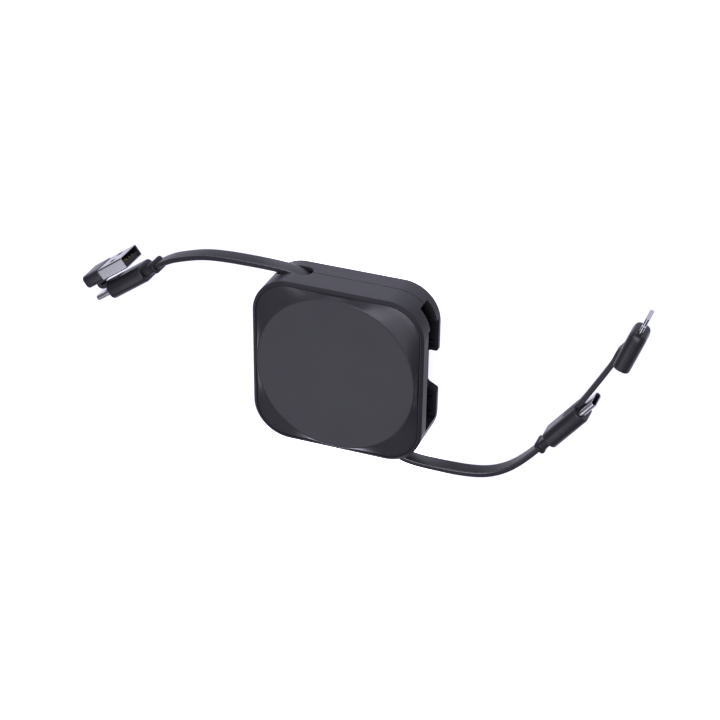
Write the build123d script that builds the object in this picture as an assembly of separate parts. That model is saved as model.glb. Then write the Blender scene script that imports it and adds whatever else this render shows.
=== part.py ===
from build123d import *
import os
from math import atan2, cos, pi, radians, sin, sqrt, tan

# Retractable charging cable: a rounded-square reel case, a flat cable paid out at both ends, a
# reversible plug on each end and an adapter tethered to each plug by a rubber strap.
# Millimetres. The case lies on its back: +Z is out of its front face, +X and +Y run along its
# bottom and left edges as seen from the front, and the origin is at the middle of its back.

# Case
case_side = 64.0
corner_radius = 13.8
parting_height = 7.8        # back face to the line where the two shells meet
wall = 1.4
back_wall = 1.5
back_edge_radius = 0.7
front_wall = 2.1
rim_bevel = 0.75            # bevel round the front edge of the side walls
rim_rise = 0.5
bead_width = 0.6            # flat between the bevel and the cover, with the bead on it
bead_setback = 0.1          # bead in from the bevel's inner edge
bead_rise = 0.25
bead_radius = 0.2
parting_chamfer = 0.15

# Front cover
cover_gap = 0.25
cover_depth = 2.5           # seat of the cover below the front edge of the side walls
cover_edge = 2.6            # upright edge of the cover
cover_rise = 2.6            # disc above the front edge of the side walls
cover_skin = 1.3
disc_diameter = 59.3

# Storage channels along the right and left walls
channel_depth = 6.8
channel_wall = 1.1
channel_bottom = -19.9
channel_adapter = 8.0       # from here up the channel holds the adapter
channel_tip = 20.2          # from here up it holds the adapter's metal plug
channel_top = 27.9
channel_clearance = 0.2
lip_width = 1.5             # plain border round the recesses in the back of a channel
recess_depth = 0.9
rib_width = 0.5             # ribs across the recesses
rib_places = (-12.4, 10.6)
notch_depth = 4.1
notch_top = 7.1
notch_bottom = -6.6
notch_slant = 2.2
notch_ramp = 2.0            # slope of the notch's lower end through the back
notch_root_radius = 1.6
notch_lip_radius = 1.2

# Cable and its slots
cable_width = 5.8
cable_thickness = 2.0
slot_clearance = 0.25
slot_inner = 13.1           # slot ends, from the middle of the case
slot_outer = 26.5
wound_length = 600.0
turn_gap = 0.05

# Reel, ball lock and mainspring
post_radius = 4.0
running_clearance = 0.1
side_clearance = 0.2
chamber_clearance = 0.5
arbor_radius = 4.9
arbor_slit = 0.6
hub_radius = 10.0
hub_wall = 1.5
hub_slot_clearance = 0.2
sleeve_wall = 1.4
flange = 0.8
lid_thickness = 1.7
lid_clearance = 0.3
spring_cup_radius = 20.0
spring_cup_wall = 1.0
spring_thickness = 0.25
spring_turns = 6
spring_segments = 20        # straight pieces in one turn of the spring
spring_clearance = 0.25
ball_diameter = 2.4
ball_clearance = 0.1
ball_lane_margin = 8.3      # middle of the ball's lane, in from the edge of the reel
ball_travel = 2.0
ball_lane_depth = 1.2
stop_pockets = 8

# Case screws
screw_radius = 0.9
screw_head_radius = 1.7
screw_head_height = 1.2
screw_length = 9.0
screw_clearance = 0.05
boss_wall = 1.4
boss_overlap = 0.4          # boss into the wall of a storage channel
screw_near = 26.0           # along the channel, near its end
screw_far = (23.5, -24.0)   # beside a cable slot

# Reversible plugs
plug_width = 10.6
plug_thickness = 6.4
plug_length = 17.3
plug_corner = 2.5
plug_edge = 0.5
collar_width = 8.2
collar_thickness = 4.6
collar_length = 1.2
neck_width = 6.8
neck_thickness = 3.8
neck_length = 4.4
tip_width = 8.25
tip_thickness = 2.4
tip_length = 6.65
tip_wall = 0.3
tip_root = 2.5              # length of the tip held inside the body
tip_mouth = 5.0
seat_clearance = 0.02
floor_clearance = 0.05

# Straps
strap_width = 4.0
strap_thickness = 1.8
strap_seat = 1.6            # depth of the strap's groove in a plug
adapter_seat = 0.8          # and in an adapter
strap_hold = 7.0            # length of the strap held in a groove
strap_lead = 2.0            # straight run of a strap past the groove
fold_lead = 4.0             # the same where the left strap folds back
wide_groove_end = 0.8       # plain length at the end of the wide adapter's groove
plug_groove = 7.5

# Sockets of the adapters
socket_width = 8.94
socket_thickness = 3.16
socket_depth = 6.6
socket_recess = 0.4
tongue_width = 6.69
tongue_thickness = 0.7
tongue_length = 4.45

# Adapter with the wide plug, on the left strap
wide_body_width = 12.3
wide_body_thickness = 5.0
wide_body_length = 8.2
wide_shell_width = 12.0
wide_shell_thickness = 4.5
wide_shell_length = 12.0
wide_shell_wall = 0.3
wide_window = 2.4
wide_tongue_width = 11.1
wide_tongue_thickness = 1.84
wide_tongue_recess = 0.9
wide_contacts = 4
wide_contact_width = 1.0
wide_contact_pitch = 2.2
wide_contact_length = 7.4
contact_thickness = 0.15
wide_overhang = 5.2         # socket face past the tip end of the plug's body
wide_gap = 1.8              # between the plug's body and the adapter

# Adapter with the slim eight-contact plug, on the right strap
slim_body_width = 10.6
slim_body_thickness = 6.2
slim_body_length = 15.5
slim_nose_width = 8.4
slim_nose_thickness = 4.2
slim_nose_length = 3.0
slim_tip_width = 6.7
slim_tip_thickness = 1.5
slim_tip_length = 6.65
slim_tip_corner = 0.7
slim_notch = 0.35
slim_contacts = 8
slim_contact_pitch = 0.66
slim_contact_width = 0.42
slim_contact_length = 3.0
slim_socket_at = (98.5, 18.2)
slim_heading = 70.0

# Cable routes from the reel to the collar of each plug
plug_height = plug_width / 2 + floor_clearance
left_route = [
    (-4.0, 23.3, 7.8), (-9.6, 26.1, 7.8), (-15.2, 29.7, 7.8), (-21.6, 31.6, 7.8),
    (-29.2, 31.9, 7.7), (-37.6, 31.7, 7.4), (-46.2, 31.3, 7.0), (-54.6, 30.3, 6.5),
    (-62.4, 27.9, 5.9), (-69.9, 25.0, plug_height), (-74.2, 21.9, plug_height),
]
right_route = [
    (4.0, -23.3, 7.8), (9.8, -25.4, 7.8), (15.8, -29.0, 7.8), (20.3, -34.8, 7.8),
    (26.6, -36.3, 7.7), (35.0, -36.6, 7.4), (44.6, -36.7, 7.0), (53.4, -35.7, 6.5),
    (61.0, -32.1, 5.9), (67.8, -25.8, plug_height), (72.0, -20.5, plug_height),
]

# Levels and places that follow from the sizes above
half = case_side / 2
channel_floor = half - channel_depth
cable_low = parting_height - cable_width / 2
cable_high = parting_height + cable_width / 2
flange_top = cable_low - side_clearance
flange_low = flange_top - flange
lid_low = cable_high + side_clearance
lid_top = lid_low + lid_thickness
front_inside = lid_top + lid_clearance
cover_seat = front_inside + front_wall
wall_height = cover_seat + cover_depth      # back face to the front edge of the side walls
rim_top = wall_height + rim_rise
rim_width = rim_bevel + bead_width
plate_top = parting_height - plug_width / 2 - channel_clearance     # back of a channel
bearing_radius = post_radius + running_clearance
reel_radius = channel_floor - channel_wall - chamber_clearance
ball_lane_radius = reel_radius - ball_lane_margin
hub_slot = 2 * cable_thickness + hub_slot_clearance
coil_radius = sqrt(hub_radius**2 + wound_length * (cable_thickness + turn_gap) / pi)
spring_low = back_wall + spring_clearance
spring_high = flange_low - spring_clearance
ball_radius = ball_diameter / 2
lane_half = ball_radius + ball_clearance
lane_floor = lid_top - ball_lane_depth
ball_height = lane_floor + running_clearance / 2 + ball_radius
ball_slot_top = ball_height + ball_radius + ball_clearance
overcut = 1.0
wide_height = wide_body_width / 2 + floor_clearance
slim_height = slim_body_width / 2 + floor_clearance
body_start = collar_length + neck_length
body_end = body_start + plug_length
turns = (0, 180)


def block(low, high):
    """Box between two corners."""
    size = [b - a for a, b in zip(low, high)]
    return Pos(*low) * Box(*size, align=(Align.MIN, Align.MIN, Align.MIN))


def tube(outer, inner, low, high):
    """Upright ring about the reel's axis."""
    return Pos(0, 0, low) * extrude(Circle(outer) - Circle(inner), high - low)


def column(radius, low, high, at=(0, 0)):
    """Upright round bar."""
    bar = Cylinder(radius, high - low, align=(Align.CENTER, Align.CENTER, Align.MIN))
    return Pos(at[0], at[1], low) * bar


def outline(inset=0.0):
    """Rounded square of the case, drawn in by inset."""
    side = case_side - 2 * inset
    return RectangleRounded(side, side, corner_radius - inset)


def storage_channel(body_width, metal_width):
    """Channel in the right wall for a plug, its adapter and the adapter's metal plug, in line."""
    zones = [
        (channel_bottom, channel_adapter, plug_width),
        (channel_adapter, channel_tip, body_width),
        (channel_tip, channel_top, metal_width),
    ]
    cut = Part()
    for low, high, width in zones:
        reach = width / 2 + channel_clearance
        cut += block((channel_floor, low, parting_height - reach),
                     (half + overcut, high, parting_height + reach))
    recesses = [
        (channel_bottom + lip_width, notch_bottom - notch_slant - lip_width),
        (notch_top + lip_width, channel_tip - lip_width),
    ]
    for low, high in recesses:
        cut += block((channel_floor, low, plate_top - recess_depth),
                     (half - lip_width, high, plate_top + recess_depth))
    for place in rib_places:
        cut -= block((channel_floor, place - rib_width / 2, plate_top - recess_depth),
                     (half - lip_width, place + rib_width / 2, plate_top))
    return cut


def notch_outline(bottom, slant, level):
    """Finger notch in plan on one level, its lower end at bottom."""
    edge = half + running_clearance
    root = half - notch_depth
    beyond = half + 2 * overcut
    lead = 2 * notch_lip_radius
    corners = [
        (beyond, notch_top + lead), (edge, notch_top + lead), (edge, notch_top), (root, notch_top),
        (root, bottom), (edge, bottom - slant), (edge, bottom - slant - lead),
        (beyond, bottom - slant - lead),
    ]
    rounds = [0, 0, notch_lip_radius, notch_root_radius, notch_root_radius, notch_lip_radius, 0, 0]
    return Pos(0, 0, level) * make_face(FilletPolyline(*corners, radius=rounds, close=True))


def finger_notch():
    """Gap through the back of the right channel, to push the plug out from behind."""
    gap = Pos(0, 0, -overcut) * extrude(notch_outline(notch_bottom, notch_slant, 0), overcut)
    gap += loft([notch_outline(notch_bottom, notch_slant, 0),
                 notch_outline(notch_bottom - notch_ramp, notch_slant / 4, plate_top)], ruled=True)
    return gap


def cable_slot():
    """Slot with round ends through the top wall, where the left length of cable leaves."""
    length = slot_outer - slot_inner
    height = cable_width + 2 * slot_clearance
    middle = (-(slot_inner + slot_outer) / 2, half + overcut, parting_height)
    face = Plane(origin=middle, x_dir=(1, 0, 0), z_dir=(0, -1, 0))
    return extrude(face * SlotOverall(length, height), overcut + 3 * wall)


def openings_in_walls():
    """Storage channels, finger notches and cable slots, cut from both shells."""
    right = storage_channel(slim_body_width, slim_tip_width) + finger_notch()
    left = storage_channel(wide_body_width, wide_body_width) + finger_notch()
    cut = right + Rot(0, 0, 180) * left
    for turn in turns:
        cut += Rot(0, 0, turn) * cable_slot()
    return cut


def cavity():
    """Inside of the case in plan: the walls and the two storage bays drawn in."""
    low = channel_bottom - channel_wall
    bay = Pos(channel_floor - channel_wall, low) * Rectangle(
        channel_depth + channel_wall, half - low, align=(Align.MIN, Align.MIN))
    return outline(wall) - bay - Rot(0, 0, 180) * bay


def screw_places():
    """Middle of each case screw."""
    beside = channel_floor - channel_wall + boss_overlap - boss_wall - screw_head_radius
    places = []
    for sign in (1, -1):
        for x, y in ((beside, screw_near), screw_far):
            places.append((sign * x, sign * y))
    return places


def rear_shell():
    """Back half of the case, with the reel's post, the spring's arbor and the screw bosses."""
    shell = extrude(outline(), parting_height)
    shell = fillet(shell.faces().sort_by(Axis.Z)[0].edges(), back_edge_radius)
    shell = chamfer(shell.faces().sort_by(Axis.Z)[-1].edges(), parting_chamfer)
    shell -= Pos(0, 0, back_wall) * extrude(cavity(), parting_height)
    shell -= openings_in_walls()
    post = column(arbor_radius, back_wall, flange_low - side_clearance)
    post -= block((-arbor_radius, -arbor_slit / 2, back_wall + spring_clearance),
                  (arbor_radius + overcut, arbor_slit / 2, flange_low))
    post += column(post_radius, flange_low - side_clearance, lid_top + ball_clearance)
    shell += post
    for place in screw_places():
        shell += column(screw_radius + boss_wall, back_wall, parting_height, place)
        shell -= column(screw_radius + screw_clearance, back_wall + wall, parting_height, place)
    return shell


def front_shell():
    """Front half of the case: side wall with its rim, inner wall and the ball's radial slot."""
    shell = Pos(0, 0, parting_height) * extrude(outline(), rim_top - parting_height)
    shell = chamfer(shell.faces().sort_by(Axis.Z)[0].edges(), parting_chamfer)
    face = shell.faces().sort_by(Axis.Z)[-1]
    shell = chamfer(face.edges(), rim_bevel, rim_rise, reference=face)
    bead = Pos(0, 0, rim_top) * extrude(outline(rim_bevel + bead_setback), bead_rise)
    shell += fillet(bead.faces().sort_by(Axis.Z)[-1].edges(), bead_radius)
    shell -= Pos(0, 0, cover_seat) * extrude(outline(rim_width), cover_depth + rim_rise + bead_rise)
    shell -= Pos(0, 0, parting_height) * extrude(cavity(), front_inside - parting_height)
    shell -= openings_in_walls()
    slide = Pos(0, ball_lane_radius + ball_travel / 2) * Rot(0, 0, 90)
    groove = slide * SlotCenterToCenter(ball_travel, 2 * lane_half)
    shell -= Pos(0, 0, front_inside - overcut) * extrude(groove, ball_slot_top - front_inside + overcut)
    for place in screw_places():
        shell += column(screw_head_radius + boss_wall, parting_height, front_inside, place)
        shell -= column(screw_radius + screw_clearance, parting_height, cover_seat, place)
        shell -= column(screw_head_radius + screw_clearance, cover_seat - screw_head_height,
                        cover_seat, place)
    return shell


def eight_sided(points_and_middles, level):
    """Face on one level from eight edges, each straight or an arc through a middle point."""
    edges = []
    for start, middle, end in points_and_middles:
        if middle is None:
            edges.append(Edge.make_line((*start, level), (*end, level)))
        else:
            edges.append(Edge.make_three_point_arc((*start, level), (*middle, level), (*end, level)))
    return Face(Wire(edges))


def cover_surround(inset, level):
    """Rounded square as four lines and four arcs, from the left end of the top edge."""
    reach = half - inset
    radius = corner_radius - inset
    straight = reach - radius
    pieces = []
    for quarter in range(4):
        turn = radians(-90 * quarter)

        def spun(x, y):
            return (x * cos(turn) - y * sin(turn), x * sin(turn) + y * cos(turn))

        bulge = straight + radius * sqrt(0.5)
        pieces.append((spun(-straight, reach), None, spun(straight, reach)))
        pieces.append((spun(straight, reach), spun(bulge, bulge), spun(reach, straight)))
    return eight_sided(pieces, level)


def cover_disc(inset, level):
    """The disc's circle cut into eight arcs that face the edges of the surround."""
    radius = disc_diameter / 2
    reach = half - inset
    straight = reach - (corner_radius - inset)
    spread = atan2(straight, reach)
    pieces = []
    for quarter in range(4):
        top = pi / 2 - quarter * pi / 2
        angles = [top + spread, top, top - spread, top - pi / 4, top - pi / 2 + spread]
        ring = [(radius * cos(a), radius * sin(a)) for a in angles]
        pieces.append((ring[0], ring[1], ring[2]))
        pieces.append((ring[2], ring[3], ring[4]))
    return eight_sided(pieces, level)


def front_cover():
    """Cover glued into the rim: flat round disc, flanks falling to a rounded-square edge."""
    inset = rim_width + cover_gap
    shoulder = cover_seat + cover_edge
    top = wall_height + cover_rise
    cover = Pos(0, 0, cover_seat) * extrude(outline(inset), cover_edge)
    cover += loft([cover_surround(inset, shoulder), cover_disc(inset, top)], ruled=True)
    hollow = extrude(outline(inset + cover_skin), cover_edge - cover_skin)
    hollow += column(disc_diameter / 2 - 2 * cover_skin, 0, top - cover_skin - cover_seat)
    return cover - Pos(0, 0, cover_seat) * hollow


def case_screws():
    """Four screws from under the cover into the bosses of the rear shell."""
    screws = []
    for place in screw_places():
        seat = cover_seat - screw_head_height
        screw = column(screw_head_radius, seat, cover_seat, place)
        screw += column(screw_radius, seat - screw_length, seat, place)
        screws.append(screw)
    return Compound(children=screws)


def reel():
    """Lower flange, hub and spring cup in one moulding, turning on the post."""
    wheel = tube(reel_radius, bearing_radius, flange_low, flange_top)
    wheel += tube(spring_cup_radius, spring_cup_radius - spring_cup_wall,
                  back_wall + side_clearance, flange_low)
    wheel += tube(hub_radius, hub_radius - hub_wall, flange_top, lid_low)
    wheel += tube(bearing_radius + sleeve_wall, bearing_radius, flange_top, lid_low)
    wheel -= block((-hub_radius, -hub_slot / 2, cable_low),
                   (-hub_radius + 2 * hub_wall, hub_slot / 2, lid_low))
    wheel -= block((hub_radius - 2 * hub_wall, -hub_slot / 2, cable_low),
                   (hub_radius, hub_slot / 2, lid_low))
    wheel -= block((spring_cup_radius - 2 * spring_cup_wall, -arbor_slit / 2, back_wall),
                   (spring_cup_radius, arbor_slit / 2, flange_low))
    return wheel


def reel_lid():
    """Upper flange, with the ball's circular lane and its stop pockets in the top face."""
    lid = tube(reel_radius, bearing_radius, lid_low, lid_top)
    spigot = hub_radius - hub_wall - running_clearance
    lid += tube(spigot, spigot - hub_wall, lid_low - hub_wall, lid_low)
    lid -= tube(ball_lane_radius + lane_half, ball_lane_radius - lane_half, lane_floor, lid_top)
    pocket = Pos(0, ball_lane_radius + ball_travel / 2) * Rot(0, 0, 90) * SlotCenterToCenter(
        ball_travel, 2 * lane_half)
    pocket = Pos(0, 0, lane_floor) * extrude(pocket, ball_lane_depth)
    for number in range(stop_pockets):
        lid -= Rot(0, 0, number * 360 / stop_pockets) * pocket
    return lid


def mainspring():
    """Flat spiral spring from the arbor's slit out to the slit in the reel's cup."""
    start = arbor_radius + 2 * spring_thickness
    end = spring_cup_radius - spring_cup_wall - 2 * spring_thickness
    count = spring_turns * spring_segments
    inner, outer = [], []
    for number in range(count + 1):
        angle = 2 * pi * number / spring_segments
        radius = start + (end - start) * number / count
        for side, shift in ((inner, -spring_thickness / 2), (outer, spring_thickness / 2)):
            side.append(((radius + shift) * cos(angle), (radius + shift) * sin(angle)))
    strip = make_face(Polyline(*inner, *reversed(outer), close=True))
    spring = Pos(0, 0, spring_low) * extrude(strip, spring_high - spring_low)
    lug = spring_thickness / 2
    spring += block((arbor_radius - 4 * spring_thickness, -lug, spring_low), (start, lug, spring_high))
    spring += block((end, -lug, spring_low),
                    (spring_cup_radius - spring_thickness, lug, spring_high))
    return spring


def lock_ball():
    """Steel ball in the lane of the lid, held to a radial slot of the front shell."""
    return Pos(0, ball_lane_radius, ball_height) * Sphere(ball_radius)


def wound_cable():
    """The turns of flat cable on the hub, as one solid."""
    return tube(coil_radius, hub_radius + turn_gap, cable_low, cable_high)


def corner_radii(points):
    """Radius at each corner of a route: as large as its two runs allow."""
    vectors = [Vector(*point) for point in points]
    radii = []
    for before, corner, after in zip(vectors, vectors[1:], vectors[2:]):
        arriving, leaving = corner - before, after - corner
        shorter = min(arriving.length, leaving.length)
        radii.append(0.45 * shorter / tan(radians(arriving.get_angle(leaving)) / 2))
    return radii


def flat_cable(name, route):
    """Flat cable along a route, its width upright."""
    radii = corner_radii(route)
    path = FilletPolyline(*route, radius=radii)
    start = Vector(*route[0])
    along = Vector(*route[1]) - start
    section = Plane(origin=start, x_dir=Vector(0, 0, 1).cross(along), z_dir=along)
    cable = sweep(section * Rectangle(cable_thickness, cable_width), path)
    expected = cable_thickness * cable_width * path.length
    print(name, "length", round(path.length, 1), "radii", [round(r, 1) for r in radii],
          "volume over section times length", round(cable.volume / expected, 4))
    return cable


def end_of(route):
    """Frame of a plug: at the cable's end, X along the last run, Z up."""
    last, before = Vector(*route[-1]), Vector(*route[-2])
    return Plane(origin=last, x_dir=last - before, z_dir=(0, 0, 1)).location


def bar(start, end, thickness, width, corner):
    """Rounded bar along X: thickness along Y, width along Z."""
    face = Plane(origin=(start, 0, 0), x_dir=(0, 1, 0), z_dir=(1, 0, 0))
    return extrude(face * RectangleRounded(thickness, width, corner), end - start)


def stadium(start, end, thickness, width):
    """Bar along X with round narrow sides: thickness along Y, width along Z."""
    face = Plane(origin=(start, 0, 0), x_dir=(0, 0, 1), z_dir=(1, 0, 0))
    return extrude(face * SlotOverall(width, thickness), end - start)


def side_groove(start, end, thickness, side, height, seat):
    """Groove for the strap in one broad side of a body whose middle is at height."""
    face = side * thickness / 2
    low, high = sorted((face - side * seat, face + side * overcut))
    reach = strap_width / 2 + seat_clearance
    middle = plug_height - height
    return block((start, low, middle - reach), (end, high, middle + reach))


def strain_relief():
    """Flared collar and narrow neck moulded round the cable's end."""
    collar = bar(0, collar_length, collar_thickness, collar_width, collar_thickness / 3)
    neck = bar(collar_length, body_start, neck_thickness, neck_width, neck_thickness / 3)
    return collar + neck


def plug_body(side):
    """Moulded body of a reversible plug, with the strap's groove in one broad side."""
    body = bar(body_start, body_end, plug_thickness, plug_width, plug_corner)
    ends = body.faces().sort_by(Axis.X)
    body = fillet(ends[0].edges() + ends[-1].edges(), plug_edge)
    body -= stadium(body_end - tip_root, body_end + overcut, tip_thickness + 2 * seat_clearance,
                    tip_width + 2 * seat_clearance)
    return body - side_groove(body_end - plug_groove, body_end + overcut, plug_thickness, side,
                              plug_height, strap_seat)


def plug_tip():
    """Drawn metal tip of a reversible plug."""
    start = body_end - tip_root
    end = body_end + tip_length
    tip = stadium(start, end, tip_thickness, tip_width)
    return tip - stadium(start, end, tip_thickness - 2 * tip_wall, tip_width - 2 * tip_wall)


def plug_insert():
    """Black insulator inside the tip, with the mouth that takes a socket's tongue."""
    thickness = tip_thickness - 2 * tip_wall - 2 * seat_clearance
    width = tip_width - 2 * tip_wall - 2 * seat_clearance
    end = body_end + tip_length - tip_wall
    insert = stadium(body_end - tip_root, end, thickness, width)
    reach = (tongue_thickness + 2 * channel_clearance) / 2
    span = (tongue_width + channel_clearance) / 2
    return insert - block((end - tip_mouth, -reach, -span), (end + overcut, reach, span))


def socket_shell():
    """Pressed metal shell lining an adapter's socket, which opens towards -X."""
    outside = stadium(socket_recess, socket_depth, socket_thickness, socket_width)
    return outside - stadium(socket_recess, socket_depth - tip_wall, socket_thickness - 2 * tip_wall,
                             socket_width - 2 * tip_wall)


def socket_tongue():
    """Contact tongue in the middle of an adapter's socket."""
    root = socket_depth - tip_wall
    return block((root - tongue_length, -tongue_thickness / 2, -tongue_width / 2),
                 (root, tongue_thickness / 2, tongue_width / 2))


def socket_hole():
    """Space in an adapter's body for its socket."""
    return stadium(-overcut, socket_depth + seat_clearance, socket_thickness + 2 * seat_clearance,
                   socket_width + 2 * seat_clearance)


def wide_adapter_body():
    """Moulded body between the socket and the wide plug."""
    body = bar(0, wide_body_length, wide_body_thickness, wide_body_width, wide_body_thickness / 3)
    body = fillet(body.faces().sort_by(Axis.X)[0].edges(), plug_edge)
    body -= socket_hole()
    return body - side_groove(-overcut, wide_body_length - wide_groove_end, wide_body_thickness, -1,
                              wide_height, adapter_seat)


def wide_adapter_shell():
    """Folded metal shell of the wide plug, with two windows in each broad side."""
    start = wide_body_length
    end = start + wide_shell_length
    shell = bar(start, end, wide_shell_thickness, wide_shell_width, 2 * wide_shell_wall)
    shell -= bar(start, end, wide_shell_thickness - 2 * wide_shell_wall,
                 wide_shell_width - 2 * wide_shell_wall, wide_shell_wall / 3)
    middle = (start + end) / 2
    for sign in (1, -1):
        place = sign * wide_shell_width / 4
        shell -= block((middle - wide_window / 2, -wide_shell_thickness, place - wide_window / 2),
                       (middle + wide_window / 2, wide_shell_thickness, place + wide_window / 2))
    return shell


def wide_adapter_tongue():
    """Plastic tongue against one broad side inside the wide plug's shell."""
    inside = wide_shell_thickness / 2 - wide_shell_wall
    return block((wide_body_length, -inside, -wide_tongue_width / 2),
                 (wide_body_length + wide_shell_length - wide_tongue_recess,
                  -inside + wide_tongue_thickness, wide_tongue_width / 2))


def wide_adapter_contacts():
    """Row of flat contacts on the tongue of the wide plug."""
    face = wide_tongue_thickness + wide_shell_wall - wide_shell_thickness / 2
    end = wide_body_length + wide_shell_length - 2 * wide_tongue_recess
    contacts = []
    for number in range(wide_contacts):
        middle = (number - (wide_contacts - 1) / 2) * wide_contact_pitch
        contacts.append(block((end - wide_contact_length, face, middle - wide_contact_width / 2),
                              (end, face + contact_thickness, middle + wide_contact_width / 2)))
    return Compound(children=contacts)


def slim_adapter_body():
    """Moulded body between the socket and the slim plug, its nose drawn in."""
    shoulder = slim_body_length - slim_nose_length
    body = bar(0, shoulder, slim_body_thickness, slim_body_width, plug_corner)
    body = fillet(body.faces().sort_by(Axis.X)[0].edges(), plug_edge)
    wide = Plane(origin=(shoulder, 0, 0), x_dir=(0, 1, 0), z_dir=(1, 0, 0))
    narrow = Plane(origin=(slim_body_length, 0, 0), x_dir=(0, 1, 0), z_dir=(1, 0, 0))
    nose_corner = plug_corner * slim_nose_thickness / slim_body_thickness
    body += loft([wide * RectangleRounded(slim_body_thickness, slim_body_width, plug_corner),
                  narrow * RectangleRounded(slim_nose_thickness, slim_nose_width, nose_corner)],
                 ruled=True)
    body -= socket_hole()
    body -= stadium(slim_body_length - tip_root, slim_body_length + overcut,
                    slim_tip_thickness + 2 * seat_clearance, slim_tip_width + 2 * seat_clearance)
    return body - side_groove(-overcut, strap_hold, slim_body_thickness, 1, slim_height, adapter_seat)


def slim_adapter_tip():
    """Metal blade of the slim plug, with a catch notch in each narrow side."""
    start = slim_body_length - tip_root
    end = slim_body_length + slim_tip_length
    blade = stadium(start, end, slim_tip_thickness, slim_tip_width)
    middle = slim_body_length + slim_tip_length / 2
    for sign in (1, -1):
        edge = sign * slim_tip_width / 2
        low, high = sorted((edge - sign * slim_notch, edge + sign * overcut))
        blade -= block((middle - slim_notch, -slim_tip_thickness, low),
                       (middle + slim_notch, slim_tip_thickness, high))
    return blade - slim_contact_pads()


def slim_contact_pads():
    """Both faces' contacts of the slim plug, set flush in its blade."""
    end = slim_body_length + slim_tip_length - slim_tip_corner
    pads = Part()
    for number in range(slim_contacts):
        middle = (number - (slim_contacts - 1) / 2) * slim_contact_pitch
        for sign in (1, -1):
            face = sign * slim_tip_thickness / 2
            low, high = sorted((face, face - sign * contact_thickness))
            pads += block((end - slim_contact_length, low, middle - slim_contact_width / 2),
                          (end, high, middle + slim_contact_width / 2))
    return pads


def strap_between(points, level):
    """Rubber strap along a level route, its width upright."""
    route = [(point.X, point.Y, level) for point in points]
    path = FilletPolyline(*route, radius=corner_radii(route))
    start = Vector(*route[0])
    along = Vector(*route[1]) - start
    section = Plane(origin=start, x_dir=Vector(0, 0, 1).cross(along), z_dir=along)
    return sweep(section * Rectangle(strap_thickness, strap_width), path)


def placed(location, x, y):
    """Point of a plug's or adapter's own frame, in the frame of the case."""
    return (location * Pos(x, y, 0)).position


# Places of the plugs and adapters
left_plug = end_of(left_route)
right_plug = end_of(right_route)
strap_line = plug_thickness / 2 - strap_seat + strap_thickness / 2
wide_line = wide_body_thickness / 2 - adapter_seat + strap_thickness / 2
slim_line = slim_body_thickness / 2 - adapter_seat + strap_thickness / 2
wide_offset = plug_thickness / 2 + wide_gap + wide_body_thickness / 2
wide_adapter = left_plug * Pos(body_end + wide_overhang, -wide_offset, wide_height - plug_height)
wide_adapter = wide_adapter * Rot(0, 0, 180)
slim_adapter = Pos(*slim_socket_at, slim_height) * Rot(0, 0, slim_heading)

fold = wide_offset - strap_line - wide_line
fold_end = body_end + fold_lead
left_strap = strap_between([
    placed(left_plug, body_end - strap_hold, -strap_line),
    placed(left_plug, fold_end, -strap_line),
    placed(left_plug, fold_end, -strap_line - fold),
    placed(wide_adapter, wide_body_length - wide_groove_end, -wide_line),
], plug_height)
right_strap = strap_between([
    placed(right_plug, body_end - strap_hold, strap_line),
    placed(right_plug, body_end + strap_lead, strap_line),
    placed(slim_adapter, -strap_lead, slim_line),
    placed(slim_adapter, strap_hold, slim_line),
], plug_height)

parts = {
    "rear_shell": rear_shell(),
    "front_shell": front_shell(),
    "front_cover": front_cover(),
    "case_screws": case_screws(),
    "reel": reel(),
    "reel_lid": reel_lid(),
    "mainspring": mainspring(),
    "lock_ball": lock_ball(),
    "wound_cable": wound_cable(),
    "left_cable": flat_cable("left cable", left_route),
    "right_cable": flat_cable("right cable", right_route),
    "left_strain_relief": left_plug * strain_relief(),
    "left_plug_body": left_plug * plug_body(-1),
    "left_plug_tip": left_plug * plug_tip(),
    "left_plug_insert": left_plug * plug_insert(),
    "left_strap": left_strap,
    "wide_adapter_body": wide_adapter * wide_adapter_body(),
    "wide_adapter_shell": wide_adapter * wide_adapter_shell(),
    "wide_adapter_tongue": wide_adapter * wide_adapter_tongue(),
    "wide_adapter_contacts": wide_adapter * wide_adapter_contacts(),
    "wide_adapter_socket": wide_adapter * socket_shell(),
    "wide_adapter_socket_tongue": wide_adapter * socket_tongue(),
    "right_strain_relief": right_plug * strain_relief(),
    "right_plug_body": right_plug * plug_body(1),
    "right_plug_tip": right_plug * plug_tip(),
    "right_plug_insert": right_plug * plug_insert(),
    "right_strap": right_strap,
    "slim_adapter_body": slim_adapter * slim_adapter_body(),
    "slim_adapter_tip": slim_adapter * slim_adapter_tip(),
    "slim_adapter_contacts": slim_adapter * slim_contact_pads(),
    "slim_adapter_socket": slim_adapter * socket_shell(),
    "slim_adapter_socket_tongue": slim_adapter * socket_tongue(),
}

os.makedirs("parts", exist_ok=True)
for node, solid in parts.items():
    export_step(solid, f"parts/{node}.step")
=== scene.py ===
import bpy
from math import atan2, cos, pi, radians, sin
from mathutils import Matrix, Vector


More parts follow.
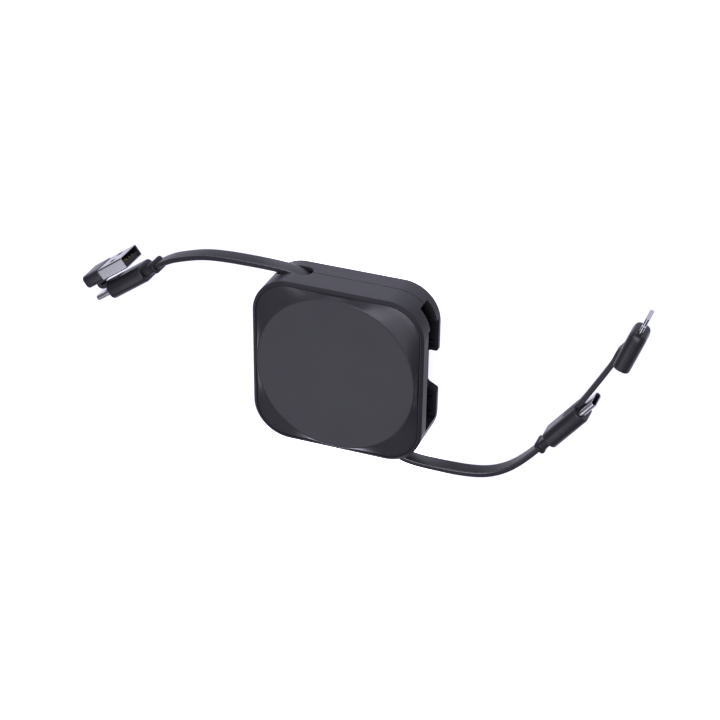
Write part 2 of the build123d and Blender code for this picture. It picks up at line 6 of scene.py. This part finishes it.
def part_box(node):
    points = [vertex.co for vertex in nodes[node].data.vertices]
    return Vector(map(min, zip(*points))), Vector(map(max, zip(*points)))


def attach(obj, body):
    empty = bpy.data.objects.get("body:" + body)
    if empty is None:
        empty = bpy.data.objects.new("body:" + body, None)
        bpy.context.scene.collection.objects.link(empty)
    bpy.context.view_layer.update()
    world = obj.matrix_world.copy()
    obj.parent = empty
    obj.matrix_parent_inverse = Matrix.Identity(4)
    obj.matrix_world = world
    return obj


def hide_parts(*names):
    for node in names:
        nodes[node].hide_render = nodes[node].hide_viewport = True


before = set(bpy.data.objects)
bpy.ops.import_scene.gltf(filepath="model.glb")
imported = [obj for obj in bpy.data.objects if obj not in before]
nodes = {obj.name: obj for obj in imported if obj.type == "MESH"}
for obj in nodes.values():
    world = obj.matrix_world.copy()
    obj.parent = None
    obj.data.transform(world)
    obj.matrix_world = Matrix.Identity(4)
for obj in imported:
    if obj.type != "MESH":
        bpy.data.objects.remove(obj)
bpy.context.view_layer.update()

# Camera
# The photograph's viewpoint, fitted to the edges of the case: above and to one side of the front face.
# It aims a little to the right of that face's middle, and above it.
scene = bpy.context.scene
azimuth, elevation, roll = radians(20.72), radians(30.49), radians(0.74)
front_middle = Vector((0, 0, 0.0175))
distance, aside, raised = 0.70195, 0.00804, 0.00408
back = Vector((sin(azimuth) * cos(elevation), sin(elevation), cos(azimuth) * cos(elevation)))
level = Vector((cos(azimuth), 0, -sin(azimuth)))
upright = back.cross(level)
right = level * cos(roll) + upright * sin(roll)
up = upright * cos(roll) - level * sin(roll)
lens = bpy.data.cameras.new("camera")
lens.lens = 100
lens.sensor_width = 36
lens.clip_start = 0.01
camera = bpy.data.objects.new("camera", lens)
camera.matrix_world = Matrix((right, up, back)).transposed().to_4x4()
camera.location = right * aside + up * raised + back * distance + front_middle
scene.collection.objects.link(camera)
scene.camera = camera

# Light table and lamps
# A white table lit from below, as for product pictures, brighter past the case's top and bottom walls
# than beside it. A broad soft box hangs over the front face with a small strip at its left; one card
# stands where the flat disc mirrors it and one behind the top wall.
scene.view_settings.view_transform = "Standard"
scene.view_settings.look = "None"
room = bpy.data.worlds.new("dim_room")
room.use_nodes = True
room_light = room.node_tree.nodes["Background"].inputs
room_light["Color"].default_value = (0.95, 0.96, 1, 1)
room_light["Strength"].default_value = 0.15
scene.world = room
table_reach, table_drop = 40, 0.0001
table_corners = [(x * table_reach, y * table_reach, 0) for x, y in ((-1, -1), (1, -1), (1, 1), (-1, 1))]
table = bpy.data.meshes.new("table_top")
table.from_pydata(table_corners, [], [(0, 1, 2, 3)])
floor = bpy.data.objects.new("table_top", table)
floor.location.z = -table_drop
scene.collection.objects.link(floor)
acrylic = bpy.data.materials.new("table_acrylic")
acrylic.use_nodes = True
table_nodes = acrylic.node_tree.nodes
wire = acrylic.node_tree.links.new
glow = table_nodes["Principled BSDF"].inputs
glow["Base Color"].default_value = (0.13, 0.13, 0.13, 1)
glow["Roughness"].default_value = 0.7
glow["Emission Color"].default_value = (0.97, 0.965, 1.16, 1)
even_glow, top_glow, bottom_glow = 0.97, 1.4, 2.6
wall_from, wall_to, side_from, side_to = 0.012, 0.036, 0.024, 0.04
spot = table_nodes.new("ShaderNodeTexCoord")
split = table_nodes.new("ShaderNodeSeparateXYZ")
sideways = table_nodes.new("ShaderNodeMath")
sideways.operation = "ABSOLUTE"
past_top = table_nodes.new("ShaderNodeMapRange")
past_bottom = table_nodes.new("ShaderNodeMapRange")
beside = table_nodes.new("ShaderNodeMapRange")
for fade, start, end, first, last in (
    (past_top, wall_from, wall_to, 0, top_glow),
    (past_bottom, -wall_from, -wall_to, 0, bottom_glow),
    (beside, side_from, side_to, 1, 0),
):
    fade.interpolation_type = "SMOOTHSTEP"
    for socket, value in (("From Min", start), ("From Max", end), ("To Min", first), ("To Max", last)):
        fade.inputs[socket].default_value = value
both = table_nodes.new("ShaderNodeMath")
both.operation = "ADD"
level_up = table_nodes.new("ShaderNodeMath")
level_up.operation = "MULTIPLY_ADD"
level_up.inputs[2].default_value = even_glow
wire(spot.outputs["Object"], split.inputs["Vector"])
wire(split.outputs["X"], sideways.inputs[0])
wire(split.outputs["Y"], past_top.inputs["Value"])
wire(split.outputs["Y"], past_bottom.inputs["Value"])
wire(sideways.outputs["Value"], beside.inputs["Value"])
wire(past_top.outputs["Result"], both.inputs[0])
wire(past_bottom.outputs["Result"], both.inputs[1])
wire(both.outputs["Value"], level_up.inputs[0])
wire(beside.outputs["Result"], level_up.inputs[1])
wire(level_up.outputs["Value"], glow["Emission Strength"])
table.materials.append(acrylic)
for name, place, size, power in (
    ("soft_box", (0.1, 0.18, 0.95), 0.6, 10.3),
    ("front_card", (-0.3, -0.507, 0.806), 0.42, 1.75),
    ("back_card", (-0.33, 0.76, 0.42), 0.55, 1.65),
    ("left_strip", (-0.36, 0.42, 0.83), 0.24, 1.7),
):
    lamp = bpy.data.lights.new(name, "AREA")
    lamp.size = size
    lamp.energy = power
    lamp.color = (0.97, 0.955, 1.12)
    light = bpy.data.objects.new(name, lamp)
    light.location = place
    light.rotation_euler = (-Vector(place)).to_track_quat("-Z", "Y").to_euler()
    scene.collection.objects.link(light)

# Flat cable, both lengths
# Satin elastomer extruded as a flat band, its round corners polished by the die, its width upright,
# so it bends on its thin side. It leaves the reel through the slots and ends in the plugs' collars.
mm = 0.001
band_width, band_thickness, band_edge = 5.8 * mm, 2.0 * mm, 0.4 * mm
corner_faces, sharp_from = 6, radians(35)
routes = {
    "left": [
        (-4.0, 23.3, 7.8), (-9.6, 26.1, 7.8), (-15.2, 29.7, 7.8), (-21.6, 31.6, 7.8),
        (-29.2, 31.9, 7.7), (-37.6, 31.7, 7.4), (-46.2, 31.3, 7.0), (-54.6, 30.3, 6.5),
        (-62.4, 27.9, 5.9), (-69.9, 25.0, 5.35), (-74.2, 21.9, 5.35),
    ],
    "right": [
        (4.0, -23.3, 7.8), (9.8, -25.4, 7.8), (15.8, -29.0, 7.8), (20.3, -34.8, 7.8),
        (26.6, -36.3, 7.7), (35.0, -36.6, 7.4), (44.6, -36.7, 7.0), (53.4, -35.7, 6.5),
        (61.0, -32.1, 5.9), (67.8, -25.8, 5.35), (72.0, -20.5, 5.35),
    ],
}


def rounded_section(across, height, corner):
    """Points round a rectangle with round corners, as pairs."""
    ring = []
    for quarter, (sx, sy) in enumerate(((1, 1), (-1, 1), (-1, -1), (1, -1))):
        for step in range(corner_faces + 1):
            angle = (quarter + step / corner_faces) * pi / 2
            ring.append((sx * (across / 2 - corner) + corner * cos(angle),
                         sy * (height / 2 - corner) + corner * sin(angle)))
    return ring


def skin(name, rings, loop=False):
    """Closed mesh through rings of points, with a face on each end or joined end to end."""
    count = len(rings[0])
    points = [point for ring in rings for point in ring]
    faces = []
    for ring in range(len(rings) if loop else len(rings) - 1):
        low, high = ring * count, (ring + 1) % len(rings) * count
        for step in range(count):
            after = (step + 1) % count
            faces.append((low + step, low + after, high + after, high + step))
    if not loop:
        faces.append(tuple(reversed(range(count))))
        faces.append(tuple(range(len(points) - count, len(points))))
    mesh = bpy.data.meshes.new(name)
    mesh.from_pydata(points, [], faces)
    mesh.update()
    mesh.shade_smooth()
    mesh.set_sharp_from_angle(angle=sharp_from)
    made = bpy.data.objects.new(name, mesh)
    scene.collection.objects.link(made)
    return made


def route_line(name, route):
    """Points along the smooth spline whose control points are the route's."""
    curve = bpy.data.curves.new(name, "CURVE")
    curve.dimensions = "3D"
    curve.resolution_u = 10
    spline = curve.splines.new("NURBS")
    spline.points.add(len(route) - 1)
    for point, place in zip(spline.points, route):
        point.co = (*place, 1)
    spline.order_u = 3
    spline.use_endpoint_u = True
    holder = bpy.data.objects.new(name, curve)
    line = bpy.data.meshes.new_from_object(holder)
    points = [vertex.co.copy() for vertex in line.vertices]
    bpy.data.objects.remove(holder)
    return points


def upright_band(name, line, thickness, width, edge, outer=0, ends=(1, 1), run=2.5 * mm):
    """Flat band along a line, its width upright; its outer side slopes in to a share at each end."""
    section = rounded_section(thickness, width, edge)
    rings = []
    for number, point in enumerate(line):
        along = line[min(number + 1, len(line) - 1)] - line[max(number - 1, 0)]
        along.normalize()
        across = Vector((0, 0, 1)).cross(along).normalized()
        tall = along.cross(across)
        slope = min(1, *(share + (point - end).length / run
                         for share, end in zip(ends, (line[0], line[-1]))))
        rings.append([point + across * (x * slope if x * outer > 0 else x) + tall * y
                      for x, y in section])
    return skin(name, rings)


def plastic(name, colour, gloss, grain=5200, relief=0.000012, mottle=0.1, shine=0.16, worn=0):
    """Moulded plastic or rubber: fine eroded grain, faint drift of shade and gloss, eased edges."""
    made = bpy.data.materials.new(name)
    made.use_nodes = True
    tree = made.node_tree
    shader = tree.nodes["Principled BSDF"]
    shader.inputs["Specular IOR Level"].default_value = shine
    place = tree.nodes.new("ShaderNodeTexCoord")
    fine = tree.nodes.new("ShaderNodeTexNoise")
    fine.inputs["Scale"].default_value = grain
    fine.inputs["Detail"].default_value = 3
    broad = tree.nodes.new("ShaderNodeTexNoise")
    broad.inputs["Scale"].default_value = 70
    broad.inputs["Detail"].default_value = 4
    shade = tree.nodes.new("ShaderNodeMapRange")
    shade.inputs["To Min"].default_value = 1 - mottle
    shade.inputs["To Max"].default_value = 1 + mottle
    tint = tree.nodes.new("ShaderNodeVectorMath")
    tint.operation = "SCALE"
    tint.inputs[0].default_value = colour
    sheen = tree.nodes.new("ShaderNodeMapRange")
    sheen.inputs["To Min"].default_value = gloss - 0.05
    sheen.inputs["To Max"].default_value = gloss + 0.05
    bump = tree.nodes.new("ShaderNodeBump")
    bump.inputs["Distance"].default_value = relief
    bump.inputs["Strength"].default_value = 0.6
    link = tree.links.new
    if worn:
        ease = tree.nodes.new("ShaderNodeBevel")
        ease.inputs["Radius"].default_value = worn
        link(ease.outputs["Normal"], bump.inputs["Normal"])
    link(place.outputs["Object"], fine.inputs["Vector"])
    link(place.outputs["Object"], broad.inputs["Vector"])
    link(broad.outputs["Fac"], shade.inputs["Value"])
    link(shade.outputs["Result"], tint.inputs["Scale"])
    link(tint.outputs["Vector"], shader.inputs["Base Color"])
    link(broad.outputs["Fac"], sheen.inputs["Value"])
    link(sheen.outputs["Result"], shader.inputs["Roughness"])
    link(fine.outputs["Fac"], bump.inputs["Height"])
    link(bump.outputs["Normal"], shader.inputs["Normal"])
    return made


jacket_colour, jacket_grain = (0.0155, 0.0152, 0.0171), 3200
jacket = plastic("cable_jacket", jacket_colour, 0.34, jacket_grain, relief=0.00001, shine=0.1)
die_gloss = plastic("jacket_corner", jacket_colour, 0.26, jacket_grain, relief=0.000004, shine=0.6)
lines, bands = {}, {}
for side, route in routes.items():
    lines[side] = route_line(side + "_route", [Vector(place) * mm for place in route])
    band = upright_band(side + "_band", lines[side], band_thickness, band_width, band_edge)
    band.data.materials.append(jacket)
    band.data.materials.append(die_gloss)
    for face in band.data.polygons:
        end_face = len(face.vertices) > 4
        flat_side = face.index % (corner_faces + 1) == corner_faces
        face.material_index = 0 if end_face or flat_side else 1
    bands[side] = band
    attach(band, "case")
    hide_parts(side + "_cable")

# Rear and front shells
# Two mouldings in black plastic with a fine satin grain, screwed together along the parting line.
# The storage channels, finger notches and cable slots are moulded in them.
case_plastic = plastic("case_plastic", (0.0188, 0.0184, 0.0208), 0.38, shine=0.07, worn=0.25 * mm)


def dress_solid(name, finish):
    """Give a solid of the CAD model its finish."""
    nodes[name].data.materials.clear()
    nodes[name].data.materials.append(finish)


for name in ("rear_shell", "front_shell"):
    dress_solid(name, case_plastic)

# Front cover
# Matte black moulding glued inside the rim: a flat round disc stands above a rounded square, and
# the flanks between them are ruled from the circle to the square.
disc_radius, disc_edge = 29.65 * mm, 0.35 * mm
cover_corner, cover_edge_height, shoulder_edge = 12.2 * mm, 3.1 * mm, 0.15 * mm
shoulder_reach, foot_share = 0.06 * mm, 0.9
disc_shares, flank_shares = (0.05, 0.35, 0.65, 0.9, 0.97), (0.3, 0.5, 0.7)
cover_low, cover_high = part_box("front_cover")
cover_reach = cover_high[0] + shoulder_reach
straight = cover_reach - cover_corner
spread = atan2(straight, cover_reach)
shoulder = cover_low[2] + cover_edge_height
straight_steps, corner_steps = 28, 36


def disc_point(angle):
    """Point on the edge of the disc."""
    return Vector((disc_radius * cos(angle), disc_radius * sin(angle), cover_high[2]))


disc_line, square_line = [], []
for quarter in range(4):
    turn = Matrix.Rotation(-quarter * pi / 2, 3, "Z")
    for step in range(straight_steps):
        part = step / straight_steps
        angle = pi / 2 + spread * (1 - 2 * part)
        disc_line.append(turn @ disc_point(angle))
        square_line.append(turn @ Vector((straight * (2 * part - 1), cover_reach, shoulder)))
    for step in range(corner_steps):
        part = step / corner_steps
        angle = pi / 2 - spread - (pi / 2 - 2 * spread) * part
        bend = pi / 2 * (1 - part)
        disc_line.append(turn @ disc_point(angle))
        square_line.append(turn @ Vector((straight + cover_corner * cos(bend),
                                          straight + cover_corner * sin(bend), shoulder)))


def eased(before, corner, after, reach, steps=5):
    """Points of a small curve that rounds the corner between two straight runs."""
    start = corner + (before - corner).normalized() * reach
    end = corner + (after - corner).normalized() * reach
    points = []
    for step in range(steps + 1):
        part = step / steps
        points.append(start * (1 - part) ** 2 + corner * 2 * part * (1 - part) + end * part ** 2)
    return points


profiles = []
for top_point, foot in zip(disc_line, square_line):
    middle = Vector((0, 0, cover_high[2]))
    below = Vector((foot.x, foot.y, cover_low[2]))
    profile = [middle.lerp(top_point, share) for share in disc_shares]
    profile += eased(middle, top_point, foot, disc_edge)
    profile += [top_point.lerp(foot, share) for share in flank_shares]
    profile += eased(top_point, foot, below, shoulder_edge)
    profile += [below, Vector((foot.x * foot_share, foot.y * foot_share, cover_low[2]))]
    profiles.append(profile)
cover = skin("cover_moulding", list(zip(*profiles)))
cover_plastic = plastic("cover_plastic", (0.0182, 0.0178, 0.0202), 0.34, shine=0.2)
cover.data.materials.append(cover_plastic)
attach(cover, "case")
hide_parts("front_cover")

# Reel, lid, mainspring, lock ball and screws
# The works inside the closed case: natural grey mouldings, a blued steel spiral, a polished ball
# and the turns of cable on the hub. They are the CAD solids with their own finishes.


def metal(name, colour, gloss, streak=3500):
    """Bare or plated metal: faint drawing lines along one axis, drifting gloss."""
    made = bpy.data.materials.new(name)
    made.use_nodes = True
    tree = made.node_tree
    shader = tree.nodes["Principled BSDF"]
    shader.inputs["Metallic"].default_value = 1
    place = tree.nodes.new("ShaderNodeTexCoord")
    stretch = tree.nodes.new("ShaderNodeMapping")
    stretch.inputs["Scale"].default_value = (0.15, 1, 1)
    drawn_lines = tree.nodes.new("ShaderNodeTexNoise")
    drawn_lines.inputs["Scale"].default_value = streak
    drawn_lines.inputs["Detail"].default_value = 4
    tone = tree.nodes.new("ShaderNodeMapRange")
    tone.inputs["To Min"].default_value = 0.985
    tone.inputs["To Max"].default_value = 1.015
    tint = tree.nodes.new("ShaderNodeVectorMath")
    tint.operation = "SCALE"
    tint.inputs[0].default_value = colour
    sheen = tree.nodes.new("ShaderNodeMapRange")
    sheen.inputs["To Min"].default_value = gloss - 0.015
    sheen.inputs["To Max"].default_value = gloss + 0.015
    link = tree.links.new
    link(place.outputs["Object"], stretch.inputs["Vector"])
    link(stretch.outputs["Vector"], drawn_lines.inputs["Vector"])
    link(drawn_lines.outputs["Fac"], tone.inputs["Value"])
    link(tone.outputs["Result"], tint.inputs["Scale"])
    link(tint.outputs["Vector"], shader.inputs["Base Color"])
    link(drawn_lines.outputs["Fac"], sheen.inputs["Value"])
    link(sheen.outputs["Result"], shader.inputs["Roughness"])
    return made


reel_plastic = plastic("reel_plastic", (0.3, 0.3, 0.31), 0.5, relief=0.000006)
spring_steel = metal("spring_steel", (0.42, 0.43, 0.47), 0.3)
ball_steel = metal("ball_steel", (0.75, 0.75, 0.77), 0.12)
works = {
    "reel": reel_plastic, "reel_lid": reel_plastic, "mainspring": spring_steel,
    "case_screws": spring_steel, "lock_ball": ball_steel, "wound_cable": jacket,
}
for name, finish in works.items():
    dress_solid(name, finish)

# Strain reliefs
# Soft black elastomer moulded round each end of the cable: a flared collar, then a neck that runs
# into the back of the plug. Each station has a place, thickness and width, and all sizes of what the
# cables carry are in mm.
collar_stations = [
    (0.0, 3.9, 7.5), (0.12, 4.4, 8.0), (0.35, 4.6, 8.2), (0.8, 4.6, 8.2), (1.02, 4.45, 8.05),
    (1.2, 4.1, 7.5), (1.45, 3.7, 6.85), (1.9, 3.5, 6.55), (4.4, 3.6, 6.65), (5.1, 3.8, 6.8),
    (5.9, 3.8, 6.8),
]


def cable_end(side):
    """Placement at the end of a cable: X along its last run, Z up."""
    before, end = (Vector(place) * mm for place in routes[side][-2:])
    along = (end - before).normalized()
    across = Vector((0, 0, 1)).cross(along)
    return Matrix.Translation(end) @ Matrix((along, across, Vector((0, 0, 1)))).transposed().to_4x4()


def bar_rings(stations, placing):
    """Rings of a rounded bar along X: each station has a place, thickness, width and corner, in mm."""
    rings = []
    for x, thickness, width, corner in stations:
        section = rounded_section(thickness * mm, width * mm, corner * mm)
        rings.append([placing @ Vector((x * mm, y, z)) for y, z in section])
    return rings


for side in routes:
    stations = [(x, thickness, width, thickness / 3) for x, thickness, width in collar_stations]
    relief = skin(side + "_relief", bar_rings(stations, cable_end(side)))
    relief.data.materials.append(jacket)
    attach(relief, "case")
    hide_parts(side + "_strain_relief")

# Plug bodies
# Black satin mouldings with round corners, a hole in the front for the metal tip and a groove in
# one broad side, where the strap lies flush.
plug_start, plug_end = 5.6, 22.9
plug_thickness, plug_width, plug_corner, plug_edge = 6.4, 10.6, 2.5, 0.6
tip_thickness, tip_width, tip_root = 2.4, 8.25, 2.5
strap_width, strap_thickness, strap_hold, groove_play, plug_seat = 4.0, 1.8, 7.0, 0.1, 1.6
strap_side = {"left": -1, "right": 1}
hole_play, overcut, end_steps = 0.06, 1, 4


def round_end(start, thickness, width, corner, edge):
    """Stations of a bar's first end, rounded off by edge."""
    stations = []
    for step in range(end_steps + 1):
        angle = pi / 2 * (1 - step / end_steps)
        drawn = edge * (1 - cos(angle))
        stations.append((start + edge * (1 - sin(angle)), thickness - 2 * drawn, width - 2 * drawn,
                         corner - drawn))
    return stations


def round_ended(start, end, *sizes):
    """Stations of a bar whose two ends are rounded off alike."""
    first = round_end(start, *sizes)
    return first + [(start + end - x, *section) for x, *section in reversed(first)]


def carve(piece, *cutters):
    """Cut other closed meshes out of a piece."""
    for cutter in cutters:
        change = piece.modifiers.new("carve", "BOOLEAN")
        change.operation = "DIFFERENCE"
        change.object = cutter
    made = bpy.data.meshes.new_from_object(piece.evaluated_get(bpy.context.evaluated_depsgraph_get()))
    piece.modifiers.clear()
    piece.data = made
    made.name = piece.name
    made.set_sharp_from_angle(angle=sharp_from)
    for cutter in cutters:
        bpy.data.objects.remove(cutter)


def groove_cutter(start, end, face, seat, placing):
    """Block that cuts a strap's groove into a broad side; face is that side's place along Y."""
    sign = 1 if face > 0 else -1
    low, high = sorted((face - sign * seat, face + sign * overcut))
    rings = []
    for x in (start, end):
        rings.append([placing @ (Vector(corner) * mm) for corner in (
            (x, low, -strap_width / 2), (x, high, -strap_width / 2),
            (x, high, strap_width / 2), (x, low, strap_width / 2))])
    return skin("groove_cutter", rings)


plug_plastic = plastic("plug_plastic", (0.0145, 0.0141, 0.016), 0.34, grain=4200, relief=0.000008,
                       shine=0.21)
for side in routes:
    placing = cable_end(side)
    stations = round_ended(plug_start, plug_end, plug_thickness, plug_width, plug_corner, plug_edge)
    body = skin(side + "_plug", bar_rings(stations, placing))
    hole = (tip_thickness + hole_play, tip_width + hole_play, tip_thickness / 2)
    tip_hole = skin("tip_cutter", bar_rings(
        [(plug_end - tip_root, *hole), (plug_end + overcut, *hole)], placing))
    groove = groove_cutter(plug_end - strap_hold - groove_play, plug_end + overcut,
                           strap_side[side] * plug_thickness / 2, plug_seat, placing)
    carve(body, tip_hole, groove)
    body.data.materials.append(plug_plastic)
    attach(body, "case")
    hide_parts(side + "_plug_body")

# Plug tips and their inserts
# Seamless drawn steel tubes, nickel plated, with a rolled lip; a black insulator fills each one
# and leaves a slot for a socket's tongue.
tip_length, tip_wall, tip_lip, tip_play = 6.65, 0.3, 0.12, 0.05
full_round = 1 / 2.001      # a hair under half, so that no two points of a ring meet


def tube_rings(start, end, thickness, width, wall, lip, placing):
    """Rings of a thin flat tube, outside then inside, with a round lip at its far end."""
    outline = [(start, 0)]
    for step in range(end_steps + 1):
        angle = pi / 2 * step / end_steps
        outline.append((end - lip * (1 - sin(angle)), lip * (1 - cos(angle))))
    outline += [(end, wall - lip), (end - lip, wall), (start, wall)]
    stations = []
    for x, drawn in outline:
        thick, wide = thickness - 2 * drawn, width - 2 * drawn
        stations.append((x, thick, wide, thick * full_round))
    return bar_rings(stations, placing)


bright_nickel = metal("bright_nickel", (0.52, 0.52, 0.532), 0.28)
insulator = plastic("insulator", (0.012, 0.012, 0.013), 0.5, relief=0.000005)
for side in routes:
    rings = tube_rings(plug_end - tip_root + tip_play, plug_end + tip_length, tip_thickness, tip_width,
                       tip_wall, tip_lip, cable_end(side))
    tip = skin(side + "_tip", rings, loop=True)
    tip.data.materials.append(bright_nickel)
    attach(tip, "case")
    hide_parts(side + "_plug_tip")
    dress_solid(side + "_plug_insert", insulator)

# Adapter with the wide plug
# A black moulded body with a reversible socket in one end and a folded steel shell on the other,
# which holds a black tongue with four gold-plated contacts.
wide_length, wide_thickness, wide_width = 8.2, 5.0, 12.3
wide_corner, adapter_edge = wide_thickness / 3, 0.5
wide_overhang, wide_gap, wide_groove_end, adapter_seat = 5.2, 1.8, 0.8, 0.8
socket_thickness, socket_width, socket_depth = 3.16, 8.94, 6.6
wide_height, plug_height = 6.2, routes["left"][-1][2]
wide_offset = plug_thickness / 2 + wide_gap + wide_thickness / 2
wide_place = cable_end("left") @ Matrix.Translation(
    Vector((plug_end + wide_overhang, -wide_offset, wide_height - plug_height)) * mm)
wide_place = wide_place @ Matrix.Rotation(pi, 4, "Z")


def socket_cutter(placing):
    """Space for a socket in the end of an adapter."""
    hole = (socket_thickness + hole_play, socket_width + hole_play, socket_thickness / 2)
    return skin("socket_cutter", bar_rings(
        [(-overcut, *hole), (socket_depth + hole_play / 2, *hole)], placing))


stations = round_ended(0, wide_length, wide_thickness, wide_width, wide_corner, adapter_edge)
wide_body = skin("wide_adapter", bar_rings(stations, wide_place))
groove_place = wide_place @ Matrix.Translation(Vector((0, 0, plug_height - wide_height)) * mm)
wide_groove = groove_cutter(-overcut, wide_length - wide_groove_end, -wide_thickness / 2, adapter_seat,
                            groove_place)
carve(wide_body, socket_cutter(wide_place), wide_groove)
wide_body.data.materials.append(plug_plastic)
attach(wide_body, "case")
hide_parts("wide_adapter_body")
shell_steel = metal("shell_steel", (0.27, 0.27, 0.279), 0.24)
plated_steel = metal("plated_steel", (0.36, 0.36, 0.372), 0.22)
contact_gold = metal("contact_gold", (0.83, 0.62, 0.28), 0.22)
for name, finish in (
    ("wide_adapter_shell", shell_steel), ("wide_adapter_tongue", insulator),
    ("wide_adapter_contacts", contact_gold), ("wide_adapter_socket", plated_steel),
    ("wide_adapter_socket_tongue", insulator),
):
    dress_solid(name, finish)

# Adapter with the slim eight-contact plug
# The same kind of body with a nose drawn in towards a thin steel blade, whose gold-plated contacts
# lie flush in both faces.
slim_length, slim_thickness, slim_width, slim_corner = 15.5, 6.2, 10.6, 2.5
nose_length, nose_thickness, nose_width, nose_steps = 3.0, 4.2, 8.4, 8
slim_tip_thickness, slim_tip_width = 1.5, 6.7
slim_socket, slim_heading = (98.5, 18.2, plug_height), radians(70)
slim_place = Matrix.Translation(Vector(slim_socket) * mm) @ Matrix.Rotation(slim_heading, 4, "Z")
shoulder_at = slim_length - nose_length
nose_corner = slim_corner * nose_thickness / slim_thickness
stations = round_end(0, slim_thickness, slim_width, slim_corner, adapter_edge)
for step in range(nose_steps + 1):
    angle = pi / 2 * step / nose_steps
    fall = 1 - cos(angle)
    stations.append((shoulder_at + sin(angle) * nose_length,
                     slim_thickness + (nose_thickness - slim_thickness) * fall,
                     slim_width + (nose_width - slim_width) * fall,
                     slim_corner + (nose_corner - slim_corner) * fall))
slim_body = skin("slim_adapter", bar_rings(stations, slim_place))
hole = (slim_tip_thickness + hole_play, slim_tip_width + hole_play, slim_tip_thickness / 2)
blade_hole = skin("blade_cutter", bar_rings(
    [(slim_length - tip_root, *hole), (slim_length + overcut, *hole)], slim_place))
slim_groove = groove_cutter(-overcut, strap_hold, slim_thickness / 2, adapter_seat, slim_place)
carve(slim_body, socket_cutter(slim_place), blade_hole, slim_groove)
slim_body.data.materials.append(plug_plastic)
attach(slim_body, "case")
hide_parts("slim_adapter_body")
for name, finish in (
    ("slim_adapter_tip", plated_steel), ("slim_adapter_contacts", contact_gold),
    ("slim_adapter_socket", plated_steel), ("slim_adapter_socket_tongue", insulator),
):
    dress_solid(name, finish)

# Straps
# Soft black rubber, moulded flat, that tethers each adapter to its plug: pressed into the groove of
# the plug, folded back beside it on the left and led across to the adapter on the right.
fold_lead, strap_lead, strap_edge = 4.0, 2.0, 0.4
strap_end_shares = (0.75, -0.05)
plug_line = plug_thickness / 2 - plug_seat + strap_thickness / 2
wide_line = wide_thickness / 2 - adapter_seat + strap_thickness / 2
slim_line = slim_thickness / 2 - adapter_seat + strap_thickness / 2
fold = wide_offset - plug_line - wide_line
left_end, right_end = cable_end("left"), cable_end("right")
strap_routes = {
    "left": [
        (left_end, plug_end - strap_hold, -plug_line), (left_end, plug_end, -plug_line),
        (left_end, plug_end + fold_lead, -plug_line), (left_end, plug_end + fold_lead, -plug_line - fold),
        (left_end, plug_end, -plug_line - fold),
        (groove_place, wide_length - wide_groove_end, -wide_line),
    ],
    "right": [
        (right_end, plug_end - strap_hold, plug_line), (right_end, plug_end, plug_line),
        (right_end, plug_end + strap_lead, plug_line), (slim_place, -strap_lead, slim_line),
        (slim_place, 0, slim_line), (slim_place, strap_hold, slim_line),
    ],
}
strap_rubber = plastic("strap_rubber", (0.018, 0.0176, 0.0197), 0.48, grain=2600, relief=0.00001)
for side, route in strap_routes.items():
    line = route_line(side + "_strap_route",
                      [placing @ (Vector((x, y, 0)) * mm) for placing, x, y in route])
    strap = upright_band(side + "_tether", line, strap_thickness * mm, strap_width * mm, strap_edge * mm,
                         strap_side[side], strap_end_shares)
    strap.data.materials.append(strap_rubber)
    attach(strap, "case")
    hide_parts(side + "_strap")
